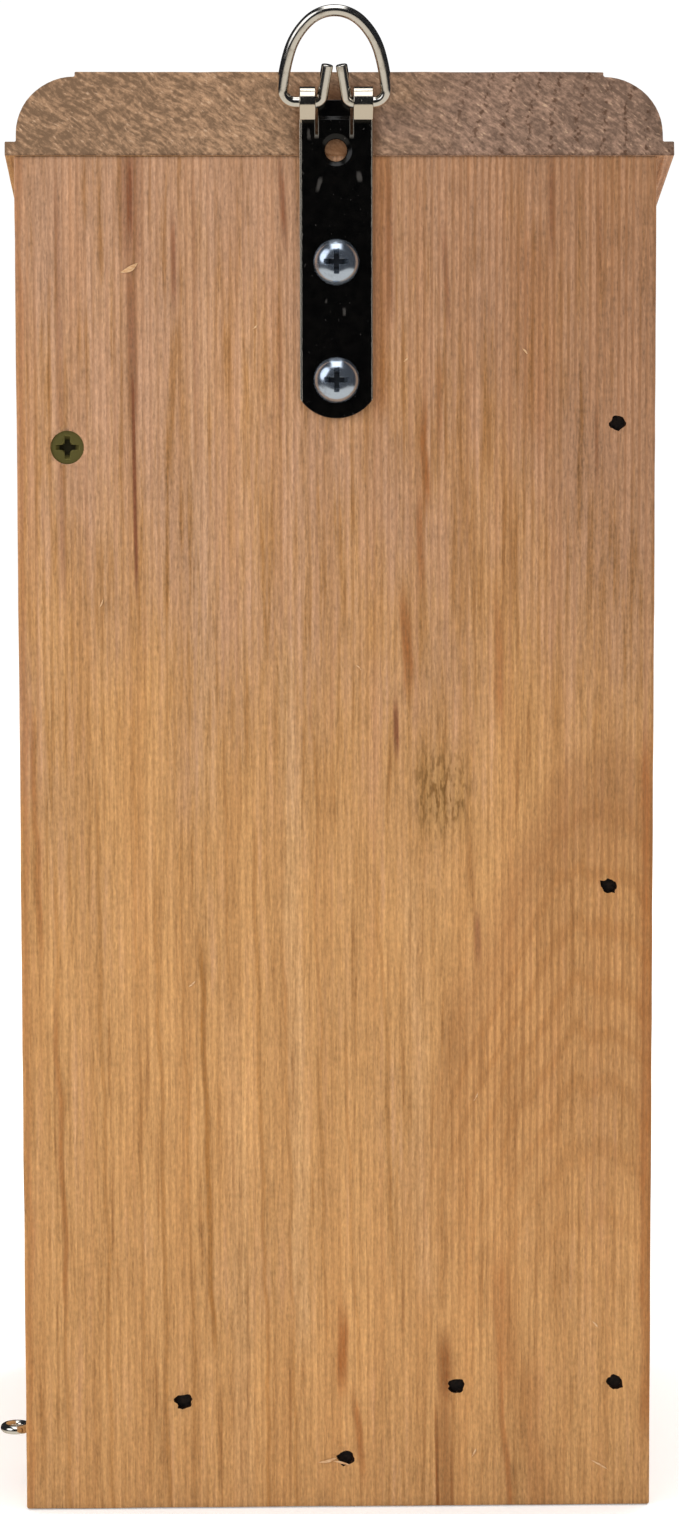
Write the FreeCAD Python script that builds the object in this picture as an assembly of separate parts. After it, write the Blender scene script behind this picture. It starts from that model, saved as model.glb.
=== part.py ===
import FreeCAD, Part

import math
import os

# A cedar nest box that hangs from a strap with a wire ring. Millimetres.
# The origin is the middle of the back board's lower rear edge: +Y leaves the rear face,
# +Z is up, and +X points to the side with the clean-out door. The entrance faces -Y.

# Boards
BOARD = 19.05
BODY_WIDTH = 139.7
BODY_DEPTH = 139.7
BACK_HEIGHT = 300.0
ROOF_PITCH = 14.0
FLOOR_RECESS = 9.5
DRAIN_RADIUS = 3.175
DRAIN_OFFSET = 30.0

# Roof board
ROOF_WIDTH = 145.5
ROOF_SHIFT = -0.9
ROOF_OVERHANG = 44.5
ROOF_LIP = 3.2
ROOF_LIP_INSET = 2.4
ROOF_ROUND = 12.7
ROOF_TOP_STEP = 1.15

# Entrance and the saw kerfs that give young birds a foothold below it
ENTRANCE_RADIUS = 19.05
ENTRANCE_HEIGHT = 187.0
KERF_COUNT = 5
KERF_FIRST_HEIGHT = 78.0
KERF_SPACING = 15.0
KERF_HEIGHT = 3.2
KERF_DEPTH = 2.4

# Clean-out door
DOOR_SIDE_GAP = 1.0
DOOR_FLOOR_GAP = 0.4
DOOR_LIFT = 1.5
DOOR_VENT = 6.35
PIVOT_HEIGHT = 237.0
PIVOT_INSET = 11.05
RUNNING_GAP = 0.05

# Pivot screws, flat head
PIVOT_HEAD_RADIUS = 3.65
PIVOT_SHANK_RADIUS = 1.75
PIVOT_LENGTH = 41.0
PIVOT_SUNK = 0.4
PIVOT_HEAD_RIM = 0.3
PIVOT_HEAD_ANGLE = 41.0
PIVOT_POINT = 5.0
PIVOT_SPARE = 1.0

# Nails with small round heads set below the surface
NAIL_HEAD_RADIUS = 1.5
NAIL_HEAD_HEIGHT = 1.0
NAIL_SHANK_RADIUS = 0.9
NAIL_LENGTH = 42.0
NAIL_SUNK = 1.5
NAIL_POINT = 3.0

# Hanger strap. Its slits, and the ring with them, sit a little off its middle.
HANGER_SHIFT = 0.4
STRAP_WIDTH = 15.9
STRAP_THICK = 1.5
STRAP_BOTTOM = 243.2
STRAP_END_RADIUS = 9.66
TONGUE_TOP = 311.9
TONGUE_BEND = 307.6
TONGUE_BEND_HEIGHT = 0.8
TONGUE_OFFSET = 0.5
TONGUE_ROOT = 0.5
SLIT_CENTRE = 3.8
SLIT_WIDTH = 0.6
SLIT_BOTTOM = 304.4
KNUCKLE_HEIGHT = 311.1
KNUCKLE_OUTER = 3.45
KNUCKLE_PAST_FRONT = 35.0
KNUCKLE_TAIL = 2.3
TOP_HOLE_HEIGHT = 301.1
SCREW_HEIGHTS = {"hanger_screw_upper": 277.0, "hanger_screw_lower": 251.5}
STRAP_HOLE_RADIUS = 2.4
DIMPLE_RADIUS = 3.5
DIMPLE_DEPTH = 0.7

# Hanger screws, pan head. The shoulder is a point of the dome, as shares of its radius and rise.
PAN_RADIUS = 5.0
PAN_RIM = 0.9
PAN_HEIGHT = 3.1
PAN_SHOULDER_REACH = 0.78
PAN_SHOULDER_RISE = 0.72
PAN_LENGTH = 17.0
PAN_POINT = 5.1
RECESS_SPAN = 5.2
RECESS_WIDTH = 1.15
RECESS_DEPTH = 1.7
RECESS_CORE = 1.35

# Wire ring, in its own plane: X across and a height above the knuckles' axis.
# Its outline is an arch of three arcs a side, each with the slope at which it ends.
RING_WIRE = 1.27
RING_TILT = 15.0
RING_TOP = 19.73
RING_CROWN = 8.2
RING_CROWN_SLOPE = 43.5
RING_SHOULDER = 15.1
RING_SHOULDER_SLOPE = 73.0
RING_SIDE = 34.9
RING_CORNER = 2.7
RING_END_TOP = 8.2
RING_END_OFFSET = 1.5
RING_END_LEAN = 9.0
RING_END_CORNER = 1.65

# Latch pin, a bent wire with a round loop
LATCH_WIRE = 1.0
LATCH_LOOP = 2.6
LATCH_LOOP_X = 73.75
LATCH_SET_BACK = -25.0
LATCH_HEIGHT = 11.9
LATCH_TIP_X = 44.4
LATCH_HOLE_GAP = 0.4
LATCH_HOLE_SPARE = 1.5

HALF_WIDTH = BODY_WIDTH / 2
INNER_X = HALF_WIDTH - BOARD
INNER_REAR = -BOARD
INNER_FRONT = BOARD - BODY_DEPTH
FLOOR_TOP = FLOOR_RECESS + BOARD
PIVOT_X = HALF_WIDTH - PIVOT_INSET
SLOPE = math.tan(math.radians(ROOF_PITCH))
TALL = BACK_HEIGHT + BOARD

# Every screw, nail and pin ends at its own radius over this. Cuts run past the face by CUT_SPARE.
TIP_TAPER = 5.0
CUT_SPARE = 1.0

X_AXIS = FreeCAD.Vector(1, 0, 0)
Y_AXIS = FreeCAD.Vector(0, 1, 0)
Z_AXIS = FreeCAD.Vector(0, 0, 1)


def vec(x, y, z):
    return FreeCAD.Vector(x, y, z)


def block(low, high):
    """An upright box between two corners."""
    size = [high[i] - low[i] for i in range(3)]
    return Part.makeBox(size[0], size[1], size[2], vec(*low))


def rod(radius, length, start, direction):
    return Part.makeCylinder(radius, length, start, direction)


def prism(points, direction):
    """A closed outline pushed along a vector."""
    outline = Part.makePolygon([vec(*p) for p in points] + [vec(*points[0])])
    return Part.Face(outline).extrude(direction)


def place_out(shape, point, outward):
    """Moves a shape built with +Z as its outward direction to a point, facing outward."""
    placed = shape.copy()
    turn = FreeCAD.Rotation(Z_AXIS, outward)
    placed.Placement = FreeCAD.Placement(point, turn)
    return placed


def solid_of(shape):
    """The one solid of a shape, with leftover seams merged."""
    return shape.removeSplitter().Solids[0]


def group_of(shapes):
    return Part.makeCompound(shapes)


def under_roof(drop=0.0):
    """Everything below the roof's underside, lowered by a gap measured square to it."""
    lower = drop / math.cos(math.radians(ROOF_PITCH))
    rear, front = BOARD, -BODY_DEPTH - ROOF_OVERHANG
    outline = [
        (-BODY_WIDTH, rear, -BOARD),
        (-BODY_WIDTH, front, -BOARD),
        (-BODY_WIDTH, front, BACK_HEIGHT + front * SLOPE - lower),
        (-BODY_WIDTH, rear, BACK_HEIGHT + rear * SLOPE - lower),
    ]
    return prism(outline, X_AXIS * (2 * BODY_WIDTH))


# Fasteners, each built with its head's top at the origin and +Z leaving the head


def tip(radius, length, start):
    """The point of a fastener, running down from the end of its shank."""
    return Part.makeCone(radius, radius / TIP_TAPER, length, start, -Z_AXIS)


def nail():
    head = rod(NAIL_HEAD_RADIUS, NAIL_HEAD_HEIGHT, vec(0, 0, -NAIL_HEAD_HEIGHT), Z_AXIS)
    straight = NAIL_LENGTH - NAIL_HEAD_HEIGHT - NAIL_POINT
    shank = rod(NAIL_SHANK_RADIUS, straight, vec(0, 0, -NAIL_HEAD_HEIGHT), -Z_AXIS)
    point_start = vec(0, 0, -NAIL_HEAD_HEIGHT - straight)
    point = tip(NAIL_SHANK_RADIUS, NAIL_POINT, point_start)
    return solid_of(head.fuse([shank, point]))


def nail_bore():
    """The nail with the open pit above its sunk head."""
    pit = rod(NAIL_HEAD_RADIUS, NAIL_SUNK + NAIL_HEAD_HEIGHT, vec(0, 0, -NAIL_HEAD_HEIGHT), Z_AXIS)
    return nail().fuse(pit)


def cross_recess(depth):
    """A cross-shaped driver recess that narrows downwards."""
    arms = []
    for across in (X_AXIS, Y_AXIS):
        along = Z_AXIS.cross(across)
        wide, narrow = RECESS_SPAN / 2, RECESS_SPAN / 4
        corners = [
            across * wide + Z_AXIS,
            across * wide,
            across * narrow - Z_AXIS * depth,
            across * -narrow - Z_AXIS * depth,
            across * -wide,
            across * -wide + Z_AXIS,
        ]
        shift = along * (-RECESS_WIDTH / 2)
        outline = [tuple(corner + shift) for corner in corners]
        arms.append(prism(outline, along * RECESS_WIDTH))
    core = Part.makeCone(RECESS_CORE, RECESS_WIDTH / 2, depth, vec(0, 0, 0), -Z_AXIS)
    return arms[0].fuse([arms[1], core])


def pan_head_screw():
    """The head's seat is at the origin and the shank runs down from it."""
    rim = Part.LineSegment(vec(PAN_RADIUS, 0, 0), vec(PAN_RADIUS, 0, PAN_RIM))
    rise = PAN_HEIGHT - PAN_RIM
    shoulder = vec(PAN_RADIUS * PAN_SHOULDER_REACH, 0, PAN_RIM + rise * PAN_SHOULDER_RISE)
    dome = Part.Arc(vec(PAN_RADIUS, 0, PAN_RIM), shoulder, vec(0, 0, PAN_HEIGHT))
    middle = Part.LineSegment(vec(0, 0, PAN_HEIGHT), vec(0, 0, 0))
    seat = Part.LineSegment(vec(0, 0, 0), vec(PAN_RADIUS, 0, 0))
    wire = Part.Wire([curve.toShape() for curve in (rim, dome, middle, seat)])
    head = Part.Face(wire).revolve(vec(0, 0, 0), Z_AXIS, 360)
    recess = cross_recess(RECESS_DEPTH)
    recess.translate(vec(0, 0, PAN_HEIGHT))
    straight = PAN_LENGTH - PAN_POINT
    shank = rod(STRAP_HOLE_RADIUS, straight, vec(0, 0, 0), -Z_AXIS)
    point = tip(STRAP_HOLE_RADIUS, PAN_POINT, vec(0, 0, -straight))
    return solid_of(head.cut(recess).fuse([shank, point]))


def flat_head_blank():
    """A countersunk screw without its driver recess."""
    rim = rod(PIVOT_HEAD_RADIUS, PIVOT_HEAD_RIM, vec(0, 0, -PIVOT_HEAD_RIM), Z_AXIS)
    taper = (PIVOT_HEAD_RADIUS - PIVOT_SHANK_RADIUS) / math.tan(math.radians(PIVOT_HEAD_ANGLE))
    cone = Part.makeCone(
        PIVOT_HEAD_RADIUS, PIVOT_SHANK_RADIUS, taper, vec(0, 0, -PIVOT_HEAD_RIM), -Z_AXIS
    )
    neck = PIVOT_HEAD_RIM + taper
    straight = PIVOT_LENGTH - neck - PIVOT_POINT
    shank = rod(PIVOT_SHANK_RADIUS, straight, vec(0, 0, -neck), -Z_AXIS)
    point = tip(PIVOT_SHANK_RADIUS, PIVOT_POINT, vec(0, 0, -neck - straight))
    return rim.fuse([cone, shank, point])


def flat_head_screw():
    return solid_of(flat_head_blank().cut(cross_recess(RECESS_DEPTH)))


def flat_head_bore():
    """The screw's own space in a board, with the shallow mouth above its sunk head."""
    mouth = rod(PIVOT_HEAD_RADIUS, PIVOT_SUNK + PIVOT_HEAD_RIM, vec(0, 0, -PIVOT_HEAD_RIM), Z_AXIS)
    return flat_head_blank().fuse(mouth)


# Where the nails go: a point on the surface and the outward direction there

SIDE_X = -HALF_WIDTH + BOARD / 2
ROOF_NORMAL = vec(0, -math.sin(math.radians(ROOF_PITCH)), math.cos(math.radians(ROOF_PITCH)))


def on_rear(x, z):
    return vec(x, 0, z), Y_AXIS


def on_front(x, z):
    return vec(x, -BODY_DEPTH, z), -Y_AXIS


def on_fixed_side(y, z):
    return vec(-HALF_WIDTH, y, z), -X_AXIS


def on_roof(x, y):
    """A point on the roof's top face above a place at depth y on its underside."""
    underside = vec(x, y, BACK_HEIGHT + y * SLOPE)
    return underside + ROOF_NORMAL * BOARD, ROOF_NORMAL


NAIL_PLACES = {
    "nails_back_to_side": [on_rear(-61.6, 242.1), on_rear(-60.1, 140.0), on_rear(-61.9, 28.1)],
    "nails_back_to_floor": [on_rear(34.6, 24.3), on_rear(-26.5, 27.4), on_rear(-1.4, 11.1)],
    "nails_front_to_side": [on_front(-61.0, 226.0), on_front(-60.4, 132.0), on_front(-61.4, 34.0)],
    "nails_front_to_floor": [on_front(31.0, 20.5), on_front(2.0, 18.0), on_front(-30.0, 19.6)],
    "nails_side_to_floor": [on_fixed_side(-47.0, 18.5), on_fixed_side(-94.0, 19.8)],
    "nails_roof_to_back": [on_roof(43.0, -11.5), on_roof(-44.5, -12.0)],
    "nails_roof_to_front": [on_roof(44.0, -132.0), on_roof(-43.0, -133.0)],
    "nails_roof_to_side": [on_roof(SIDE_X, -47.0), on_roof(SIDE_X, -96.0)],
}


def set_nails(builder, places):
    """One solid per place, each sunk below its surface."""
    return [place_out(builder(), point - outward * NAIL_SUNK, outward) for point, outward in places]


def nail_bores():
    bores = []
    for places in NAIL_PLACES.values():
        bores += set_nails(nail_bore, places)
    return bores


PIVOT_PLACES = {
    "pivot_screw_rear": (vec(PIVOT_X, -PIVOT_SUNK, PIVOT_HEIGHT), Y_AXIS),
    "pivot_screw_front": (vec(PIVOT_X, PIVOT_SUNK - BODY_DEPTH, PIVOT_HEIGHT), -Y_AXIS),
}


def hanger_screws():
    """The two screws, seated on the strap. The same shapes cut their own holes in the back board."""
    return {
        name: place_out(pan_head_screw(), vec(0, STRAP_THICK, height), Y_AXIS)
        for name, height in SCREW_HEIGHTS.items()
    }


# Boards


def bored(board, bores):
    """A board with every fastener's space cut out of it."""
    near = [bore for bore in bores if board.BoundBox.intersect(bore.BoundBox)]
    return solid_of(board.cut(near))


def back_board(bores):
    board = block((-HALF_WIDTH, -BOARD, 0), (HALF_WIDTH, 0, TALL)).common(under_roof())
    return bored(board, bores + list(hanger_screws().values()))


def front_board(bores):
    board = block((-HALF_WIDTH, -BODY_DEPTH, 0), (HALF_WIDTH, INNER_FRONT, TALL))
    board = board.common(under_roof())
    mouth_start = vec(0, INNER_FRONT + CUT_SPARE, ENTRANCE_HEIGHT)
    mouth = rod(ENTRANCE_RADIUS, BOARD + 2 * CUT_SPARE, mouth_start, -Y_AXIS)
    kerfs = []
    for step in range(KERF_COUNT):
        low = KERF_FIRST_HEIGHT + step * KERF_SPACING
        deep = (-INNER_X, INNER_FRONT - KERF_DEPTH, low)
        kerfs.append(block(deep, (INNER_X, INNER_FRONT + CUT_SPARE, low + KERF_HEIGHT)))
    return bored(board.cut([mouth] + kerfs), bores)


def fixed_side_panel(bores):
    board = block((-HALF_WIDTH, INNER_FRONT, 0), (-INNER_X, INNER_REAR, TALL))
    return bored(board.common(under_roof()), bores)


def clean_out_door():
    low = (INNER_X, INNER_FRONT + DOOR_SIDE_GAP, DOOR_LIFT)
    high = (HALF_WIDTH, INNER_REAR - DOOR_SIDE_GAP, TALL)
    board = block(low, high).common(under_roof(DOOR_VENT))
    journal = PIVOT_SHANK_RADIUS + RUNNING_GAP
    depth = PIVOT_SUNK + PIVOT_LENGTH + PIVOT_SPARE
    rear = rod(journal, depth, vec(PIVOT_X, 0, PIVOT_HEIGHT), -Y_AXIS)
    front = rod(journal, depth, vec(PIVOT_X, -BODY_DEPTH, PIVOT_HEIGHT), Y_AXIS)
    guide_start = vec(HALF_WIDTH + CUT_SPARE, LATCH_SET_BACK, LATCH_HEIGHT)
    guide = rod(LATCH_WIRE + RUNNING_GAP, BOARD + 2 * CUT_SPARE, guide_start, -X_AXIS)
    return solid_of(board.cut([rear, front, guide]))


def floor_board(bores):
    low = (-INNER_X, INNER_FRONT, FLOOR_RECESS)
    high = (INNER_X - DOOR_FLOOR_GAP, INNER_REAR, FLOOR_TOP)
    middle_y = -BODY_DEPTH / 2
    drains = [
        rod(DRAIN_RADIUS, FLOOR_TOP + CUT_SPARE, vec(x, middle_y + y, 0), Z_AXIS)
        for x in (-DRAIN_OFFSET, DRAIN_OFFSET)
        for y in (-DRAIN_OFFSET, DRAIN_OFFSET)
    ]
    socket_end = LATCH_TIP_X - LATCH_HOLE_SPARE
    socket = rod(
        LATCH_WIRE + LATCH_HOLE_GAP,
        INNER_X - socket_end,
        vec(INNER_X, LATCH_SET_BACK, LATCH_HEIGHT),
        -X_AXIS,
    )
    return bored(block(low, high).cut(drains + [socket]), bores)


def roof_edge(side):
    """Half of the roof's moulded outline, from the underside's edge up to the flat top."""
    lip_x = side * ROOF_WIDTH / 2
    step_x = lip_x - side * ROOF_LIP_INSET
    flat_x = step_x - side * ROOF_ROUND
    round_top = BOARD - ROOF_TOP_STEP
    round_bottom = round_top - ROOF_ROUND
    half = math.sqrt(0.5)
    middle = (flat_x + side * ROOF_ROUND * half, round_bottom + ROOF_ROUND * half)
    return {
        "lip": (lip_x, 0.0),
        "lip_top": (lip_x, ROOF_LIP),
        "step": (step_x, ROOF_LIP),
        "round_start": (step_x, round_bottom),
        "round_middle": middle,
        "round_end": (flat_x, round_top),
        "flat": (flat_x, BOARD),
    }


def edge_curves(edge, lift):
    """The moulded edge as curves, where lift turns its flat points into space."""
    spots = {name: lift(point) for name, point in edge.items()}
    curves = [
        Part.LineSegment(spots["lip"], spots["lip_top"]),
        Part.LineSegment(spots["lip_top"], spots["step"]),
        Part.LineSegment(spots["step"], spots["round_start"]),
        Part.Arc(spots["round_start"], spots["round_middle"], spots["round_end"]),
        Part.LineSegment(spots["round_end"], spots["flat"]),
    ]
    return [curve.toShape() for curve in curves], spots


def roof_board(bores):
    """Moulded along both sides and the front, square at the rear, then tilted."""
    length = (BODY_DEPTH + ROOF_OVERHANG) / math.cos(math.radians(ROOF_PITCH))
    front_shift = length - ROOF_WIDTH / 2

    def seen_from_end(point):
        return vec(point[0], 0, point[1])

    def seen_from_side(point):
        return vec(-ROOF_WIDTH, point[0] - front_shift, point[1])

    right, right_spots = edge_curves(roof_edge(1), seen_from_end)
    left, left_spots = edge_curves(roof_edge(-1), seen_from_end)
    top = Part.makeLine(right_spots["flat"], left_spots["flat"])
    bottom = Part.makeLine(left_spots["lip"], right_spots["lip"])
    across = Part.Wire(Part.__sortEdges__(right + [top] + left + [bottom]))
    long_bar = Part.Face(across).extrude(Y_AXIS * -length)
    front, front_spots = edge_curves(roof_edge(-1), seen_from_side)
    rear_low = vec(-ROOF_WIDTH, CUT_SPARE, 0)
    rear_high = vec(-ROOF_WIDTH, CUT_SPARE, BOARD)
    closing = [
        Part.makeLine(front_spots["flat"], rear_high),
        Part.makeLine(rear_high, rear_low),
        Part.makeLine(rear_low, front_spots["lip"]),
    ]
    along = Part.Wire(Part.__sortEdges__(front + closing))
    wide_bar = Part.Face(along).extrude(X_AXIS * (2 * ROOF_WIDTH))
    board = long_bar.common(wide_bar)
    board.rotate(vec(0, 0, 0), X_AXIS, ROOF_PITCH)
    board.translate(vec(ROOF_SHIFT, 0, BACK_HEIGHT))
    return bored(board, bores)


# Hanger


def strap_blank():
    """The flat strap with its rounded lower end and its slightly bent middle tongue."""
    half = STRAP_WIDTH / 2
    centre_z = STRAP_BOTTOM + STRAP_END_RADIUS
    corner_z = centre_z - math.sqrt(STRAP_END_RADIUS**2 - half**2)
    high_x = HANGER_SHIFT + SLIT_CENTRE + SLIT_WIDTH / 2
    low_x = HANGER_SHIFT - SLIT_CENTRE - SLIT_WIDTH / 2
    end_arc = Part.Arc(vec(-half, 0, corner_z), vec(0, 0, STRAP_BOTTOM), vec(half, 0, corner_z))
    corners = [vec(half, 0, corner_z), vec(half, 0, KNUCKLE_HEIGHT), vec(high_x, 0, KNUCKLE_HEIGHT)]
    corners += [vec(high_x, 0, TONGUE_BEND), vec(low_x, 0, TONGUE_BEND)]
    corners += [vec(low_x, 0, KNUCKLE_HEIGHT), vec(-half, 0, KNUCKLE_HEIGHT)]
    corners += [vec(-half, 0, corner_z)]
    sides = [Part.makeLine(a, b) for a, b in zip(corners, corners[1:])]
    outline = Part.Wire([end_arc.toShape()] + sides)
    return Part.Face(outline).extrude(Y_AXIS * STRAP_THICK)


def tongue():
    """The middle of the strap's top, bent towards the roof's end."""
    half = SLIT_CENTRE - SLIT_WIDTH / 2
    low_x = HANGER_SHIFT - half
    root = TONGUE_BEND - TONGUE_ROOT
    bend_top = TONGUE_BEND + TONGUE_BEND_HEIGHT
    outline = [
        (low_x, 0, root),
        (low_x, STRAP_THICK, root),
        (low_x, STRAP_THICK, TONGUE_BEND),
        (low_x, STRAP_THICK - TONGUE_OFFSET, bend_top),
        (low_x, STRAP_THICK - TONGUE_OFFSET, TONGUE_TOP),
        (low_x, -TONGUE_OFFSET, TONGUE_TOP),
        (low_x, -TONGUE_OFFSET, bend_top),
        (low_x, 0, TONGUE_BEND),
    ]
    return prism(outline, X_AXIS * (2 * half))


def knuckle(low_x, high_x):
    """A tab rolled over the ring's wire: up the rear, over the top, and a straight tail that closes
    the front so that the wire can't drop out."""
    centre = vec(low_x, KNUCKLE_OUTER, KNUCKLE_HEIGHT)
    inner = KNUCKLE_OUTER - STRAP_THICK
    past = math.radians(KNUCKLE_PAST_FRONT)
    leaving = vec(0, math.cos(past), -math.sin(past))
    tail_way = vec(0, -math.sin(past), -math.cos(past)) * KNUCKLE_TAIL
    corners = [
        centre + leaving * inner,
        centre + leaving * KNUCKLE_OUTER,
        centre + leaving * KNUCKLE_OUTER + tail_way,
        centre + leaving * inner + tail_way,
    ]
    width = X_AXIS * (high_x - low_x)
    tail = prism([tuple(corner) for corner in corners], width)
    full = rod(KNUCKLE_OUTER, width.x, centre, X_AXIS).cut(rod(inner, width.x, centre, X_AXIS))
    far = 2 * KNUCKLE_OUTER
    below = [centre, centre + leaving * far, centre - Z_AXIS * far - Y_AXIS * far, centre - Y_AXIS * far]
    open_part = prism([tuple(corner) for corner in below], width)
    return full.cut(open_part).fuse(tail)


def hanger_strap():
    half = STRAP_WIDTH / 2
    inner = SLIT_CENTRE + SLIT_WIDTH / 2
    rolls = [knuckle(HANGER_SHIFT + inner, half), knuckle(-half, HANGER_SHIFT - inner)]
    strap = strap_blank().fuse([tongue()] + rolls)
    slits = [
        block(
            (centre - SLIT_WIDTH / 2, -CUT_SPARE, SLIT_BOTTOM),
            (centre + SLIT_WIDTH / 2, STRAP_THICK + CUT_SPARE, KNUCKLE_HEIGHT),
        )
        for centre in (HANGER_SHIFT - SLIT_CENTRE, HANGER_SHIFT + SLIT_CENTRE)
    ]
    heights = [TOP_HOLE_HEIGHT] + list(SCREW_HEIGHTS.values())
    holes = [rod(STRAP_HOLE_RADIUS, 3 * STRAP_THICK, vec(0, -STRAP_THICK, z), Y_AXIS) for z in heights]
    dimple_top = vec(0, STRAP_THICK, TOP_HOLE_HEIGHT)
    dimple = Part.makeCone(DIMPLE_RADIUS, STRAP_HOLE_RADIUS, DIMPLE_DEPTH, dimple_top, -Y_AXIS)
    return solid_of(strap.cut(slits + holes + [dimple]))


def in_ring_plane(across, height):
    """A point of the ring from its place in the ring's own tilted plane."""
    tilt = math.radians(RING_TILT)
    rise = Y_AXIS * (height * math.sin(tilt)) + Z_AXIS * (height * math.cos(tilt))
    return vec(HANGER_SHIFT + across, KNUCKLE_OUTER, KNUCKLE_HEIGHT) + rise


def ring_arc(centre, radius, start_angle, end_angle, side):
    """An arc in the ring's plane. Angles run from X towards the height, and side mirrors it in X."""
    spots = []
    for angle in (start_angle, (start_angle + end_angle) / 2, end_angle):
        turn = math.radians(angle)
        across = centre[0] + radius * math.cos(turn)
        spots.append(in_ring_plane(side * across, centre[1] + radius * math.sin(turn)))
    return Part.Arc(*spots).toShape()


def further_centre(centre, radius, next_radius, slope):
    """The centre of a wider arc that carries on where one of this radius ends at this slope."""
    turn = math.radians(slope)
    step = next_radius - radius
    return centre[0] - step * math.sin(turn), centre[1] - step * math.cos(turn)


def ring_half(side):
    """Edges from the upturned end, through the knuckle, round the corner and up to the top."""
    crown = (0, RING_TOP - RING_CROWN)
    shoulder = further_centre(crown, RING_CROWN, RING_SHOULDER, RING_CROWN_SLOPE)
    flank = further_centre(shoulder, RING_SHOULDER, RING_SIDE, RING_SHOULDER_SLOPE)
    meet = math.acos((RING_CORNER - flank[1]) / (RING_SIDE - RING_CORNER))
    corner_x = flank[0] + (RING_SIDE - RING_CORNER) * math.sin(meet)
    corner_end = 360 + 90 - math.degrees(meet)
    lean = math.radians(RING_END_LEAN)
    end_start_height = RING_END_CORNER * (1 - math.sin(lean))
    end_start_x = RING_END_OFFSET + (RING_END_TOP - end_start_height) * math.tan(lean)
    end_x = end_start_x + RING_END_CORNER * math.cos(lean)
    arcs = [
        ring_arc((end_x, RING_END_CORNER), RING_END_CORNER, 180 + RING_END_LEAN, 270, side),
        ring_arc((corner_x, RING_CORNER), RING_CORNER, 270, corner_end, side),
        ring_arc(flank, RING_SIDE, 90 - math.degrees(meet), 90 - RING_SHOULDER_SLOPE, side),
        ring_arc(shoulder, RING_SHOULDER, 90 - RING_SHOULDER_SLOPE, 90 - RING_CROWN_SLOPE, side),
        ring_arc(crown, RING_CROWN, 90 - RING_CROWN_SLOPE, 90, side),
    ]
    ring_end = in_ring_plane(side * RING_END_OFFSET, RING_END_TOP)
    end_line = Part.makeLine(ring_end, arcs[0].Vertexes[0].Point)
    bottom_line = Part.makeLine(arcs[0].Vertexes[-1].Point, arcs[1].Vertexes[0].Point)
    return [end_line, arcs[0], bottom_line] + arcs[1:]


def swept_wire(edges, radius, start, direction):
    """Round wire along a path of lines and tangent arcs."""
    path = Part.Wire(Part.__sortEdges__(edges))
    section = Part.Wire([Part.makeCircle(radius, start, direction)])
    return path.makePipeShell([section], True, True)


def hanger_ring():
    start = in_ring_plane(RING_END_OFFSET, RING_END_TOP)
    edges = ring_half(1) + ring_half(-1)
    direction = edges[0].tangentAt(edges[0].FirstParameter)
    return Part.Solid(swept_wire(edges, RING_WIRE, start, direction))


def latch_pin():
    """A straight shank that ends in a closed loop lying level."""
    loop = Part.makeTorus(LATCH_LOOP, LATCH_WIRE, vec(LATCH_LOOP_X, LATCH_SET_BACK, LATCH_HEIGHT), Z_AXIS)
    shank_end = LATCH_LOOP_X - LATCH_LOOP
    start = vec(LATCH_TIP_X + LATCH_WIRE, LATCH_SET_BACK, LATCH_HEIGHT)
    shank = rod(LATCH_WIRE, shank_end - start.x, start, X_AXIS)
    point = Part.makeCone(LATCH_WIRE, LATCH_WIRE / TIP_TAPER, LATCH_WIRE, start, -X_AXIS)
    return solid_of(loop.fuse([shank, point]))


def all_nodes():
    pivot_bores = [place_out(flat_head_bore(), *place) for place in PIVOT_PLACES.values()]
    bores = nail_bores() + pivot_bores
    nodes = {
        "back_board": back_board(bores),
        "front_board": front_board(bores),
        "fixed_side_panel": fixed_side_panel(bores),
        "clean_out_door": clean_out_door(),
        "floor_board": floor_board(bores),
        "roof_board": roof_board(bores),
        "hanger_strap": hanger_strap(),
        "hanger_ring": hanger_ring(),
        "latch_pin": latch_pin(),
    }
    nodes.update(hanger_screws())
    for name, place in PIVOT_PLACES.items():
        nodes[name] = place_out(flat_head_screw(), *place)
    for name, places in NAIL_PLACES.items():
        nodes[name] = group_of(set_nails(nail, places))
    return nodes


os.makedirs("parts", exist_ok=True)
for name, shape in all_nodes().items():
    if not shape.isValid():
        print(name, "is not a valid shape")
    volume = sum(solid.Volume for solid in shape.Solids)
    print(f"{name}: {len(shape.Solids)} solid(s), {volume:.0f} cubic mm")
    shape.exportStep(f"parts/{name}.step")
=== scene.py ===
import math

import bmesh
import bpy
from mathutils import Matrix, Vector, noise


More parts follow.
